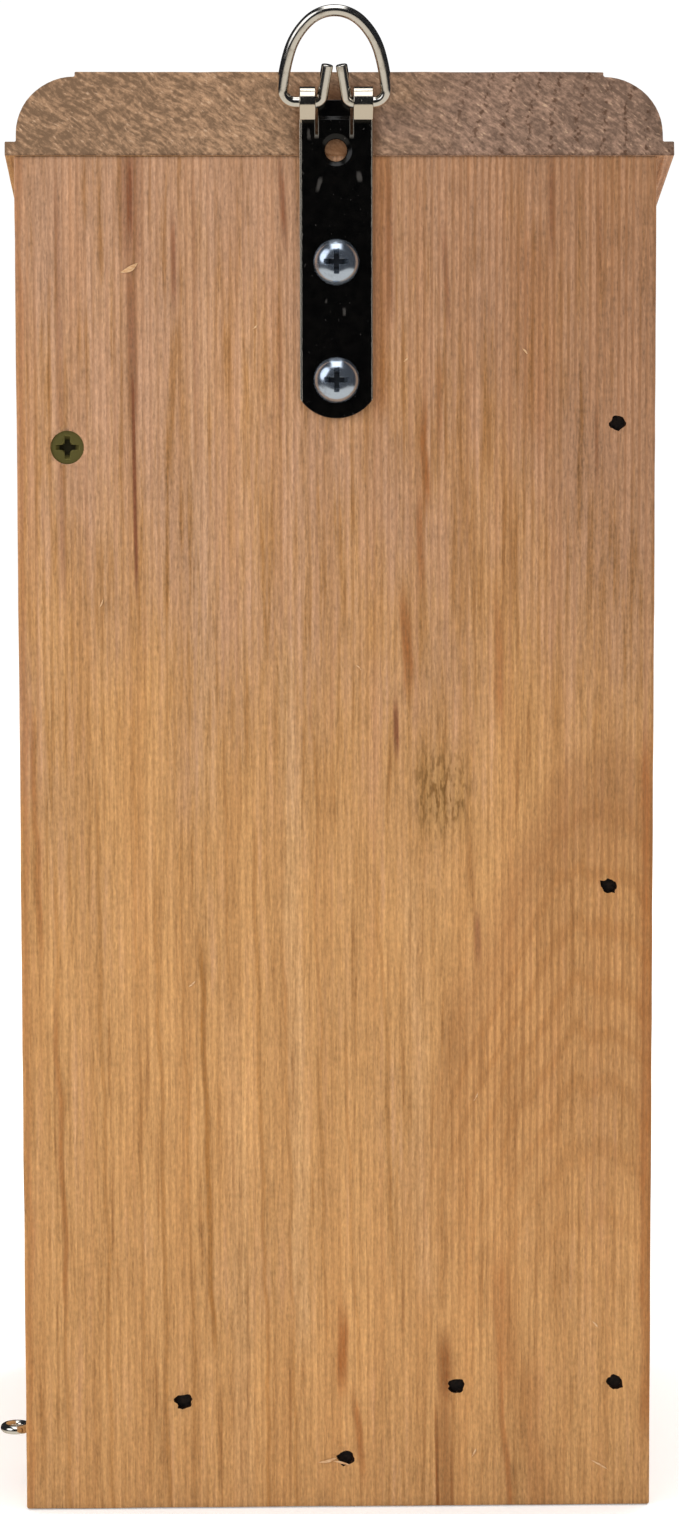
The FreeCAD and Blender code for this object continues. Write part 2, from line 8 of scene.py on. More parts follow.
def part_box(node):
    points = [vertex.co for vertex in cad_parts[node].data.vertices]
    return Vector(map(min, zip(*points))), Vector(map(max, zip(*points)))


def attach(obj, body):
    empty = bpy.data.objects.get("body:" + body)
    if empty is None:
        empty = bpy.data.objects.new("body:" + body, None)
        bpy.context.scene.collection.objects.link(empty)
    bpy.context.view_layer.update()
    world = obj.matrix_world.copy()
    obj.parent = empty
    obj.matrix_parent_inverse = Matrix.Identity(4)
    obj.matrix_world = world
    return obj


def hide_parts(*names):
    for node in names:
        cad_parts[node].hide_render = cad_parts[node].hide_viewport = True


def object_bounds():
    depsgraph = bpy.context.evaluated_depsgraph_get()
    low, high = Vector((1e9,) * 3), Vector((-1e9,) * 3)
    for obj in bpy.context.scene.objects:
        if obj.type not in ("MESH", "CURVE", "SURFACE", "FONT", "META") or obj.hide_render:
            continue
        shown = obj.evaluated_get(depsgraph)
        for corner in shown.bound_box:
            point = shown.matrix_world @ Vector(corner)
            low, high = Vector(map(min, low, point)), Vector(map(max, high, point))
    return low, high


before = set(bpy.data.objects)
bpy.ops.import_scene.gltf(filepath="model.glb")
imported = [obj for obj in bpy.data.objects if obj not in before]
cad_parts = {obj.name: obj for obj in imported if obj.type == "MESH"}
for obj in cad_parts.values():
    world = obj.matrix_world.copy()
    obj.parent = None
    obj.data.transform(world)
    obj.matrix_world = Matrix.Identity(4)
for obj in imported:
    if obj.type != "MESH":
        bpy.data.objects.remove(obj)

# A cedar nest box seen from behind. The scene is in metres and MM turns millimetres into them.
# Named lengths are in millimetres. Named angles are in degrees, apart from the roof's pitch.
MM = 0.001
FULL_TURN = 2 * math.pi
cad_low, cad_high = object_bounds()

ROOF_PITCH = math.radians(14.0)

# Where the back board meets the roof's underside, up the board and square to the roof's slope
BACK_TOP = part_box("back_board")[1].z / MM
ROOF_UNDER = BACK_TOP * math.cos(ROOF_PITCH)

# Boards: the gap between saw ridges, the eased edges, and the grid and depth of their unevenness
RIDGE_PITCH = 1.572
BOARD_EASE = 0.45
BOARD_EDGE_ANGLE = 25
BOARD_SHORTEST_EDGE = 9
BOARD_GRID = 6
BOARD_UNEVENNESS = 0.14
BOARD_SMOOTH_ANGLE = 30

# Nails: how far they are sunk, and the radius of the CAD bore over each and of what cuts it ragged
NAIL_SUNK = 1.5
BORE_RADIUS = 1.5
CUTTER_RADIUS = 1.52
LEAST_CUTTER_RADIUS = 1.51

# Points of one nail's head lie this near to its outer end
HEAD_SLACK = 0.3

# CAD points nearer than this are one point, and faces flatter than this to each other are one face
WELD = 0.0005
FLAT_ANGLE = 0.6

# The strap's slits: how far off its middle they are centred, how far each is from there, and the
# heights that the painted glint along their edges runs between
HANGER_SHIFT = 0.4
SLIT_FROM_MIDDLE = 3.8
SLIT_LOW = 303.4
SLIT_HIGH = 308.8

# Where the strap's rolled tabs start to stand off it
TABS_OUT = 1.75

# The driver's cross lies inside this radius of a screw head's middle, and below its crown
CROSS_RADIUS = 2.2
CROSS_DEPTH = 0.4

# The studio lights a surface that faces it this much more than the shader's white.
STUDIO_GAIN = 1.3

# The camera stands behind the object, a little to one side, and looks slightly down. Its lens is a
# focal length for a sensor this wide.
CAMERA_PLACE = (16.37, 800.0, 240.05)
CAMERA_HEADING = 178.79
CAMERA_TILT = 84.92
CAMERA_ROLL = -0.11
CAMERA_LENS = 86.7
CAMERA_SENSOR = 36.0

# The floor lies this far below the object
FLOOR_GAP = 0.2

# The two lamps: where they are and how large, in metres, and their power in watts
REAR_LAMP = (1.15, 0.8, 0.6)
REAR_LAMP_SIZE = (0.45, 0.8)
FRONT_LAMP = (-0.8, -1.2, 1.0)
FRONT_LAMP_SIZE = (0.6, 0.6)
LAMP_WATTS = 7.0


# Node trees


class Term:
    """A number or colour that varies over a surface. Arithmetic on terms adds Math nodes."""

    def __init__(self, graph, socket):
        self.graph = graph
        self.socket = socket

    def __add__(self, other):
        return self.graph.math("ADD", self, other)

    def __radd__(self, other):
        return self.graph.math("ADD", other, self)

    def __sub__(self, other):
        return self.graph.math("SUBTRACT", self, other)

    def __rsub__(self, other):
        return self.graph.math("SUBTRACT", other, self)

    def __mul__(self, other):
        return self.graph.math("MULTIPLY", self, other)

    def __truediv__(self, other):
        return self.graph.math("DIVIDE", self, other)

    def __abs__(self):
        return self.graph.math("ABSOLUTE", self)


class Graph:
    """A material's node tree, with short calls that return terms."""

    def __init__(self, name):
        self.material = bpy.data.materials.new(name)
        self.material.use_nodes = True
        self.tree = self.material.node_tree
        self.tree.nodes.clear()
        self.coordinates = self.add("ShaderNodeTexCoord")

    def add(self, kind, **settings):
        node = self.tree.nodes.new(kind)
        for key, value in settings.items():
            setattr(node, key, value)
        return node

    def feed(self, socket, value):
        if isinstance(value, Term):
            self.tree.links.new(value.socket, socket)
        else:
            socket.default_value = value

    def math(self, operation, *values):
        node = self.add("ShaderNodeMath", operation=operation)
        for socket, value in zip(node.inputs, values):
            self.feed(socket, value)
        return Term(self, node.outputs[0])

    def split(self, output, factor):
        node = self.add("ShaderNodeSeparateXYZ")
        self.tree.links.new(self.coordinates.outputs[output], node.inputs[0])
        return [Term(self, out) * factor for out in node.outputs]

    def place(self):
        """The point on the object in millimetres."""
        return self.split("Object", 1 / MM)

    def normal(self):
        """The surface's direction in the object's own frame."""
        return self.split("Normal", 1.0)

    def noise(self, x, y, z, detail=2.0, roughness=0.5):
        """Smooth noise of about unit size in x, y and z, centred on zero."""
        point = self.add("ShaderNodeCombineXYZ")
        for socket, value in zip(point.inputs, (x, y, z)):
            self.feed(socket, value)
        node = self.add("ShaderNodeTexNoise")
        self.tree.links.new(point.outputs[0], node.inputs["Vector"])
        node.inputs["Scale"].default_value = 1.0
        node.inputs["Detail"].default_value = detail
        node.inputs["Roughness"].default_value = roughness
        return Term(self, node.outputs[0]) - 0.5

    def fade(self, value, low, high):
        """0 below low, 1 above high and smooth between them. High may be the smaller."""
        node = self.add("ShaderNodeMapRange", interpolation_type="SMOOTHSTEP")
        flip = high < low
        self.feed(node.inputs["Value"], value)
        node.inputs["From Min"].default_value = min(low, high)
        node.inputs["From Max"].default_value = max(low, high)
        node.inputs["To Min"].default_value = 1.0 if flip else 0.0
        node.inputs["To Max"].default_value = 0.0 if flip else 1.0
        return Term(self, node.outputs[0])

    def mix(self, factor, first, second):
        """Colours: the first where factor is 0 and the second where it is 1."""
        node = self.add("ShaderNodeMix", data_type="RGBA")
        self.feed(node.inputs[0], factor)
        self.feed(node.inputs[6], first)
        self.feed(node.inputs[7], second)
        return Term(self, node.outputs[2])

    def scale(self, colour, factor):
        """A colour times a number."""
        node = self.add("ShaderNodeVectorMath", operation="SCALE")
        self.feed(node.inputs[0], colour)
        self.feed(node.inputs["Scale"], factor)
        return Term(self, node.outputs[0])

    def surface(self, colour, roughness, height, metallic=0.0, specular=0.5, glow=0.0):
        """Ends the tree in a shader. Height is in millimetres."""
        shader = self.add("ShaderNodeBsdfPrincipled")
        bump = self.add("ShaderNodeBump")
        bump.inputs["Distance"].default_value = MM
        self.feed(bump.inputs["Height"], height)
        self.tree.links.new(bump.outputs["Normal"], shader.inputs["Normal"])
        self.feed(shader.inputs["Base Color"], colour)
        self.feed(shader.inputs["Roughness"], roughness)
        self.feed(shader.inputs["Metallic"], metallic)
        shader.inputs["Specular IOR Level"].default_value = specular
        shader.inputs["Emission Color"].default_value = (1.0, 1.0, 1.0, 1.0)
        shader.inputs["Emission Strength"].default_value = glow
        output = self.add("ShaderNodeOutputMaterial")
        self.tree.links.new(shader.outputs[0], output.inputs["Surface"])
        return self.material


def linear(red, green, blue):
    """A colour given as it looks on a screen, 0 to 255, turned into the shader's own scale."""
    channels = []
    for value in (red, green, blue):
        share = value / 255
        channels.append(share / 12.92 if share <= 0.04045 else ((share + 0.055) / 1.055) ** 2.4)
    return (*channels, 1.0)


def seen(red, green, blue):
    """A colour given as it looks in the studio's light."""
    return (*[channel / STUDIO_GAIN for channel in linear(red, green, blue)[:3]], 1.0)


# Wood


# Colours of cedar, of its marks, of painted shade and shadow, and of the roof's sawn ends
PINK_CEDAR = seen(198, 153, 120)
GOLD_CEDAR = seen(205, 154, 99)
BROWN_CEDAR = seen(168, 112, 60)
# Painted shade for the saw grooves
GROOVE_SHADE_BROWN = seen(140, 92, 54)
RED_HEART = seen(136, 84, 56)
# A real orange stain, also used for the painted shadow beside the strap
ORANGE_STAIN_AND_SHADOW = seen(160, 98, 50)
OLIVE_STAIN = seen(150, 116, 60)
PALE_FIBRE = seen(226, 186, 140)
BROWN_STAIN = seen(140, 86, 44)
FLAME_BROWN = seen(174, 118, 70)
FLAME_TIP = seen(146, 96, 60)
RING_BROWN = seen(165, 112, 58)
OLIVE_DASH = seen(124, 86, 42)
DIM_BROWN = seen(166, 114, 74)
# The painted shadow of the hanger on the roof's end
HANGER_SHADOW_BROWN = seen(112, 68, 32)
TORN_SHADE = seen(200, 148, 100)
TORN_PALE = seen(232, 194, 150)
# Painted shade in the nail pits, and the crushed fibres' own brown
PIT_SHADE_BLACK = linear(26, 17, 12)
PIT_BROWN = linear(92, 58, 36)
END_GOLD = seen(161, 127, 98)
END_GREY = seen(150, 120, 101)
END_DARK = seen(84, 58, 42)
END_PALE = seen(214, 178, 146)


def streak(graph, across, along, spot, low, high, width, drift=0.0):
    """A soft mark that runs with the grain from low to high. It leans by drift over its length."""
    middle = (low + high) / 2
    centre = spot + (along - middle) * (drift / (high - low))
    beside = graph.fade(abs(across - centre), width / 2, width * 0.1)
    ends = min(14.0, (high - low) / 2.5)
    above = graph.fade(along, low, low + ends)
    below = graph.fade(along, high, high - ends)
    return beside * above * below


class Grain:
    """The fields that every cedar board shares, in its own across, along and depth directions."""

    def __init__(self, graph, across, along, depth, seed):
        self.graph = graph
        self.across, self.along, self.depth = across, along, depth
        shift = seed * 37.0
        sway = graph.noise(across / 45 + shift, along / 90, depth / 45, detail=1.0)
        ripple = graph.noise(across / 14 + shift, along / 26, depth / 14, detail=2.0)
        self.sway = sway * 9.0 + ripple * 2.4
        self.blotch = graph.noise(across / 24 + shift, along / 70, depth / 24, detail=2.0)
        self.bands = graph.noise(across / 5.5 + shift, along / 90, depth / 5.5, detail=2.0)
        self.streaks = graph.noise(across / 1.5 + shift, along / 38, depth / 1.5, detail=3.0, roughness=0.6)
        self.fibres = graph.noise(across / 0.5, along / 5.0 + shift, depth / 0.5, detail=2.0, roughness=0.6)
        self.specks = graph.noise(across / 0.5, along / 1.1 + shift, depth / 0.5, detail=1.0)

    def ridges(self, facing):
        """How deep in a groove between the regular saw ridges a point on a wide face is, 0 to 1."""
        wobble = self.graph.noise(self.across / 9, self.along / 60, self.depth / 9, detail=1.0) * 1.3
        wander = self.fibres * 0.8 + self.specks * 0.4
        wave = self.graph.math("SINE", self.across * (FULL_TURN / RIDGE_PITCH) + wobble + wander)
        clear = self.graph.fade(self.bands * 1.2 + self.blotch + self.specks * 0.5, -0.5, 0.15)
        return self.graph.fade(wave, 0.3, -1.0) * facing * clear

    def rings(self, pith_across, pith_depth, gap):
        """Growth rings round the tree's heart: 0 in the early wood, rising to 1 at each late line."""
        side = self.across - pith_across + self.sway
        back = self.depth - pith_depth
        radius = self.graph.math("SQRT", side * side + back * back)
        phase = self.graph.math("FRACT", radius / gap + self.streaks * 0.12)
        line = self.graph.fade(phase, 0.35, 0.9) * self.graph.fade(phase, 1.0, 0.92)
        return line * self.graph.fade(self.blotch + self.streaks * 0.8, -0.22, 0.12)


def cedar(name, axes, seed, pith, ring_gap, warmth, marks=None, ring_depth=0.24, end_rows=False):
    """Raw sawn cedar. Axes turns the point (x, y, z) into across, along and depth. Pith is where the
    tree's heart lies, across and in depth, and warmth gives how golden each place is, 0 to 1."""
    graph = Graph(name)
    across, along, depth = axes(*graph.place())
    end_facing = abs(axes(*graph.normal())[1])
    wide_facing = graph.fade(abs(axes(*graph.normal())[2]), 0.75, 0.95)
    grain = Grain(graph, across, along, depth, seed)
    grooves = grain.ridges(wide_facing)
    rings = grain.rings(pith[0], pith[1], ring_gap)
    fine = grain.fibres * 0.8 + grain.specks * 0.6
    tone = 0.92 + grain.blotch * 0.45 + grain.bands * 0.36 + grain.streaks * 0.6 + fine
    # Pale streaks are pinker and dark ones more golden.
    drift = grain.blotch * 1.2 - grain.bands * 0.5 - grain.streaks * 1.5
    golden = graph.fade(warmth(graph, across, along) + drift, 0.0, 1.0)
    colour = graph.mix(golden, PINK_CEDAR, GOLD_CEDAR)
    brown = graph.fade(grain.streaks + grain.bands * 0.4, 0.0, -0.3)
    colour = graph.mix(brown * 0.7, colour, BROWN_CEDAR)
    colour = graph.mix(rings * ring_depth * 2.2, colour, BROWN_CEDAR)
    height = grain.fibres * 0.1 + grain.specks * 0.06 - grooves * 0.07
    groove_shade = 0.3
    if marks:
        marked, marked_tone, groove_shade = marks(graph, grain, colour, tone)
        colour = graph.mix(wide_facing, colour, marked)
        tone = tone + (marked_tone - tone) * wide_facing
    colour = graph.scale(colour, tone)
    # Painted shade darkens the saw grooves.
    colour = graph.mix(grooves * groove_shade, colour, GROOVE_SHADE_BROWN)
    ends = graph.fade(end_facing, 0.55, 0.85)
    end_colour, end_height = end_grain(graph, grain, rings, end_rows)
    colour = graph.mix(ends, colour, end_colour)
    height = height + ends * end_height
    roughness = 0.78 + grain.fibres * 0.3
    return graph.surface(colour, roughness, height, specular=0.12)


def end_grain(graph, grain, rings, rows):
    """Sawn across the grain: mottled, with short torn strokes aslant and the rings as arcs."""
    along_stroke = grain.across * 0.8 + grain.depth * 0.6
    beside_stroke = grain.depth * 0.8 - grain.across * 0.6
    bend = graph.noise(grain.across / 12, grain.depth / 12, grain.along / 20) * 5.0
    strokes = graph.noise((beside_stroke + bend) / 0.8, along_stroke / 2.7, grain.along / 5, roughness=0.6)
    pores = graph.noise(grain.across / 0.9, grain.depth / 0.9, grain.along / 3, detail=2.0, roughness=0.7)
    flecks = graph.noise(beside_stroke / 0.6, along_stroke / 1.4, grain.along / 4, detail=1.0)
    clouds = graph.noise(grain.across / 20, grain.depth / 9, grain.along / 20, detail=2.0)
    grey = graph.fade(clouds * 60.0 - grain.across, -14.0, 30.0) if rows else graph.fade(clouds, -0.2, 0.2)
    calm = 1.0 - grey * 0.12
    sides = graph.fade(abs(grain.across), 25.0, 62.0)
    tone = 1.0 + pores * 1.3 + strokes * 2.4 * calm + clouds * 0.3 - rings * 0.12 - sides * 0.18
    tone = graph.math("MAXIMUM", tone, 0.6)
    colour = graph.scale(graph.mix(grey, END_GOLD, END_GREY), tone)
    pale = graph.fade(flecks + strokes * 0.6, 0.14, 0.36) * calm
    colour = graph.mix(pale * 0.8, colour, END_PALE)
    dark = graph.fade(pores - strokes * 0.5, 0.14, 0.36)
    colour = graph.mix(dark * 0.3, colour, END_DARK)
    if rows:
        colour = roof_end_marks(graph, grain, colour, pores)
    height = pores * 0.22 + strokes * 0.16
    return colour, height


def roof_end_marks(graph, grain, colour, pores):
    """Rows of resin specks on one half, painted shade where the roof meets the back board and a
    painted shadow of the hanger, rust brown in colour."""
    bend = graph.noise(grain.across / 18, grain.depth / 18, 5.0, detail=1.0) * 6.0
    row = graph.math("FRACT", (grain.across + grain.depth * 0.22 + bend + pores * 2.0) / 5.2)
    near_row = graph.fade(abs(row - 0.5), 0.2, 0.02)
    spots = graph.noise(grain.across / 1.1, grain.depth / 1.3, 3.0, detail=1.0)
    rear = graph.fade(grain.along, 0.0, 20.0)
    specks = near_row * graph.fade(spots, -0.02, 0.12) * graph.fade(grain.across, -14.0, -34.0)
    colour = graph.mix(specks * 0.8, colour, END_DARK)
    up = grain.depth - ROOF_UNDER
    # Painted shade where the roof's end meets the back board.
    joint_shade = graph.fade(up + pores * 1.2, 0.75, 0.05) * rear
    colour = graph.mix(joint_shade * 0.6, colour, END_DARK)
    # A painted shadow of the hanger on the roof's end, rust brown in colour.
    behind = graph.fade(abs(grain.across), 10.5, 7.0) * graph.fade(up, 17.5, 14.0) * rear
    return graph.mix(behind * 0.62, colour, HANGER_SHADOW_BROWN)


def upright_by_x(x, y, z):
    return x, z, y


def upright_by_y(x, y, z):
    return y, z, x


def level_by_x(x, y, z):
    return y, x, z


def sloped(x, y, z):
    """Along the roof's slope. It serves points and directions alike, so it adds no offset."""
    along = y * math.cos(ROOF_PITCH) + z * math.sin(ROOF_PITCH)
    depth = z * math.cos(ROOF_PITCH) - y * math.sin(ROOF_PITCH)
    return x, along, depth


# Marks on the back board: where across, from which height to which, how wide, how far they lean,
# and how strong they are.
RED_STREAKS = [
    (44.6, 270, 310, 7.0, 0.4, 0.5),
    (44.9, 274, 308, 2.6, 0.4, 0.8),
    (44.5, 236, 284, 3.2, 0.6, 0.6),
    (44.2, 200, 262, 1.3, 0.8, 1.0),
    (60.3, 200, 300, 2.0, 1.0, 0.35),
    (35.4, 262, 292, 1.7, 0.4, 0.6),
    (30.6, 225, 300, 2.2, 0.6, 0.3),
    (11.6, 276, 304, 2.0, 1.6, 0.65),
    (12.4, 236, 275, 1.6, 0.6, 0.35),
    (-11.6, 258, 305, 2.2, 0.4, 0.6),
    (-24.0, 256, 290, 2.0, 1.8, 0.5),
    (-13.0, 166, 184, 1.8, 0.4, 0.9),
    (-47.0, 274, 306, 2.0, 0.4, 0.7),
    (-57.5, 268, 296, 1.4, 0.3, 0.5),
    (-57.0, 226, 250, 1.3, 0.3, 0.55),
    (-31.0, 120, 138, 2.2, 0.5, 0.6),
]
ORANGE_STREAKS = [
    (-0.9, 22, 50, 3.4, 0.4, 0.8),
    (-37.0, -14, 56, 2.2, 4.5, 0.5),
    (-4.5, 2, 30, 2.6, 3.0, 0.65),
    (-19.4, 218, 252, 2.6, 0.6, 0.8),
    (-18.6, 200, 232, 2.2, 0.4, 0.6),
    (-15.4, 178, 210, 3.4, 2.6, 0.8),
    (-35.6, 170, 210, 3.0, 2.0, 0.5),
    (-68.6, 10, 180, 4.6, 0.8, 0.5),
    (69.0, -20, 320, 3.0, 0.2, 0.35),
    (-22.5, 232, 262, 2.0, 1.0, 0.45),
    (-43.0, 232, 290, 11.0, 1.0, 0.28),
    (-37.0, 20, 64, 7.0, 3.0, 0.35),
    (-44.0, -12, 40, 8.0, 2.0, 0.3),
    (66.5, 120, 185, 2.0, 2.0, 0.5),
    (61.5, 40, 120, 2.0, 2.0, 0.4),
]
STAIN_STREAKS = [
    (-23.8, 18, 44, 5.0, 0.6, 0.75),
    (-23.9, -16, 34, 4.6, 0.8, 0.5),
    (-22.2, -16, 30, 1.4, 0.8, 0.8),
    (-25.4, -16, 22, 1.4, 0.6, 0.6),
]
RING_LINES = [
    (61.0, -20, 150, 1.6, 2.5, 0.5),
    (51.5, -20, 170, 1.5, 3.0, 0.5),
    (44.0, 20, 190, 1.1, 2.0, 0.4),
    (38.8, -20, 150, 1.6, 2.5, 0.6),
    (33.4, 10, 160, 1.1, 3.0, 0.4),
    (29.0, 30, 135, 1.9, 2.5, 0.95),
    (24.0, 60, 180, 1.1, 2.0, 0.4),
    (16.7, -20, 160, 1.6, 3.5, 0.6),
    (10.5, -10, 130, 1.4, 3.0, 0.55),
    (4.0, 30, 190, 1.2, 3.0, 0.4),
    (-3.0, 20, 120, 1.2, 4.0, 0.4),
    (-11.0, 40, 150, 1.4, 5.0, 0.4),
]
PALE_BANDS = [
    (9.5, 30, 200, 6.0, 3.0, 0.32),
    (22.0, -20, 120, 7.0, 3.0, 0.22),
    (-18.0, 40, 150, 6.0, 4.0, 0.25),
    (30.0, 150, 300, 8.0, 3.0, 0.14),
]


def strongest(graph, grain, across, table):
    """The strongest of several streaks at each point."""
    total = None
    for spot, low, high, width, drift, strength in table:
        mask = streak(graph, across, grain.along, spot, low, high, width, drift) * strength
        total = mask if total is None else graph.math("MAXIMUM", total, mask)
    return total


def flame(graph, grain, across):
    """A cathedral of rings cut by the board's edge: its tip is high and its arms widen downwards.
    Gives where its inside, its ring lines and its tip are."""
    side = across + 59.0
    level = grain.along + side * side / 20.0 + grain.blotch * 26.0 + grain.bands * 14.0
    inside = graph.fade(level, 182.0, 140.0) * graph.fade(grain.along, 20.0, 110.0)
    lines = graph.math("SINE", (level + grain.sway * 2.0) * (FULL_TURN / 13.0))
    tip = graph.fade(level, 178.0, 164.0) * graph.fade(level, 138.0, 160.0)
    tip = tip * graph.fade(grain.along, 60.0, 150.0)
    return inside, graph.fade(lines, 0.1, 1.0) * inside, tip


def back_board_marks(graph, grain, colour, tone):
    """The back board's streaks, stains, flame and tones, with painted shade along its top and bottom
    edges and a painted shadow beside the strap: its colour, its tone and how much painted shade the
    saw grooves get."""
    wander = graph.noise(grain.across / 30, grain.along / 24, 4.0, detail=2.0) * 3.2
    across = grain.across + wander
    rough = grain.streaks * 1.6 + grain.fibres * 1.2 + 1.1
    inside, lines, tip = flame(graph, grain, across)
    colour = graph.mix(inside * 0.3, colour, FLAME_BROWN)
    colour = graph.mix(lines * 0.3 * rough, colour, BROWN_CEDAR)
    colour = graph.mix(tip * 0.28 * rough, colour, FLAME_TIP)
    colour = graph.mix(strongest(graph, grain, across, RING_LINES) * rough * 0.8, colour, RING_BROWN)
    colour = graph.mix(strongest(graph, grain, across, PALE_BANDS) * rough * 0.6, colour, PALE_FIBRE)
    colour = graph.mix(strongest(graph, grain, across, ORANGE_STREAKS) * rough, colour, ORANGE_STAIN_AND_SHADOW)
    colour = graph.mix(strongest(graph, grain, grain.across, RED_STREAKS) * rough, colour, RED_HEART)
    colour = graph.mix(strongest(graph, grain, grain.across, STAIN_STREAKS) * rough, colour, BROWN_STAIN)
    olive = streak(graph, across, grain.along, -22.8, 147, 175, 18.0)
    dashes = graph.noise(grain.across / 0.9, grain.along / 3.4, 9.0, detail=2.0)
    colour = graph.mix(olive * 0.36, colour, OLIVE_STAIN)
    colour = graph.mix(olive * graph.fade(dashes, -0.02, 0.12) * 0.8, colour, OLIVE_DASH)
    upper = graph.fade(grain.along, 130.0, 290.0)
    lower = graph.fade(grain.along, 210.0, 80.0)
    dim_side = graph.fade(grain.across, 30.0, -72.0)
    # Painted shade along the top edge, where the roof sits on the board, and along the bottom edge.
    joint_shade = graph.fade(grain.along + grain.specks * 1.5, BACK_TOP - 0.9, BACK_TOP - 0.1)
    foot_shade = graph.fade(grain.along, 1.6, 0.2)
    bottom = graph.fade(grain.along, 60.0, -6.0)
    bottom_side = bottom * graph.fade(grain.across, 0.0, -50.0)
    # A painted shadow beside the strap's -x edge, in the orange stain's colour.
    strap_shadow = graph.fade(abs(grain.across + 9.6), 2.8, 0.6) * graph.fade(grain.along, 241.0, 248.0)
    colour = graph.mix(strap_shadow * 0.45, colour, ORANGE_STAIN_AND_SHADOW)
    colour = graph.mix(upper * dim_side * 0.42, colour, DIM_BROWN)
    tone = tone - upper * dim_side * 0.1 - upper * 0.02 + lower * 0.08 - joint_shade * 0.35 - foot_shade * 0.12
    tone = tone - bottom * 0.06 - bottom_side * 0.08
    groove_shade = 0.2 + upper * 0.12 + upper * dim_side * 0.26 + inside * 0.24
    return colour, tone, groove_shade


def back_warmth(graph, across, along):
    return graph.fade(along, 280.0, 120.0) * 0.84 + 0.14


def even_warmth(graph, across, along):
    return graph.fade(along, 300.0, 40.0) * 0.6 + 0.2


def roof_warmth(graph, across, along):
    return graph.fade(across, -60.0, 70.0) * 0.7 + 0.1


def pit_wood():
    """Crushed fibres in a nail's pit, darkened near black as painted shade."""
    graph = Graph("crushed_wood")
    x, y, z = graph.place()
    torn = graph.noise(x / 0.35, y / 0.35, z / 0.8, detail=3.0, roughness=0.7)
    colour = graph.mix(graph.fade(torn, 0.0, 0.3), PIT_SHADE_BLACK, PIT_BROWN)
    return graph.surface(colour, 0.9 + torn * 0.1, torn * 0.2, specular=0.1)


# Metal


# Each plated metal's clean colour and its tarnish
NICKEL = (linear(230, 226, 218), linear(186, 174, 156))
ZINC = (linear(196, 210, 228), linear(150, 160, 174))
YELLOW_ZINC = (linear(152, 142, 82), linear(92, 86, 44))
# Painted shade inside the screws' driver crosses
RECESS_SHADE_BLACK = linear(22, 24, 28)
# The strap's flat face: a painted reflection of the dark room, clean and dull
STRAP_DARK_REFLECTION = linear(2, 2, 2)
STRAP_DULL_DARK_REFLECTION = linear(8, 7, 6)
STRAP_CHIP = linear(96, 92, 88)
BARE_PLATE = linear(226, 216, 200)
# Nail steel, made darker as painted shade for the pits
NAIL_SHADE_BLACK = linear(30, 27, 26)
NAIL_BROWN = linear(58, 44, 36)


def scratched(graph, x, y, z):
    """Fine scratches in two directions, as a height in millimetres."""
    one = graph.noise((x + z) / 0.25, (x - z) / 6.0, y / 0.3, detail=2.0)
    two = graph.noise((x - z * 0.4) / 0.2, (z + x * 0.4) / 5.0, y / 0.3, detail=2.0)
    return one + two


def bright_plate(name, colours, rough, metallic=1.0, recess=None):
    """Nickel or zinc plate with faint scratches and duller patches. Recess is the middle of a screw
    head's outer face: the driver's cross there gets painted shade inside."""
    clean, tarnish = colours
    graph = Graph(name)
    x, y, z = graph.place()
    patches = graph.noise(x / 3.0, y / 3.0, z / 3.0, detail=3.0, roughness=0.6)
    lines = scratched(graph, x, y, z)
    dull = graph.fade(patches, 0.02, 0.3)
    shade = graph.mix(dull * 0.6, clean, tarnish)
    roughness = rough + dull * 0.16 + abs(lines) * 0.12
    if recess:
        side, up = x - recess.x / MM, z - recess.z / MM
        beside = graph.math("SQRT", side * side + up * up)
        depth = abs(recess.y / MM - y)
        # Painted shade inside the driver's cross.
        near = graph.fade(beside, CROSS_RADIUS, CROSS_RADIUS - 0.7)
        inside = near * graph.fade(depth, CROSS_DEPTH, CROSS_DEPTH + 0.5)
        shade = graph.mix(inside * 0.85, shade, RECESS_SHADE_BLACK)
        roughness = roughness + inside * 0.3
    return graph.surface(shade, roughness, lines * 0.004 + patches * 0.006, metallic=metallic)


def head_centre(node, outward):
    """The middle of a screw head's outer face. Outward is 1 for a screw that faces the rear."""
    low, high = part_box(node)
    middle = (low + high) / 2
    return Vector((middle.x, high.y if outward > 0 else low.y, middle.z))


# Chips in the strap's finish, listed as the marks on the back board are
STRAP_NICKS = [
    (3.7, 291.8, 295.6, 1.2, -1.0, 0.9),
    (-5.0, 294.0, 296.8, 1.5, 0.3, 1.0),
    (-1.7, 265.2, 267.4, 0.9, 0.0, 0.8),
    (5.9, 303.0, 306.0, 0.9, 0.4, 0.7),
    (2.2, 268.0, 269.2, 0.7, 0.0, 0.5),
]


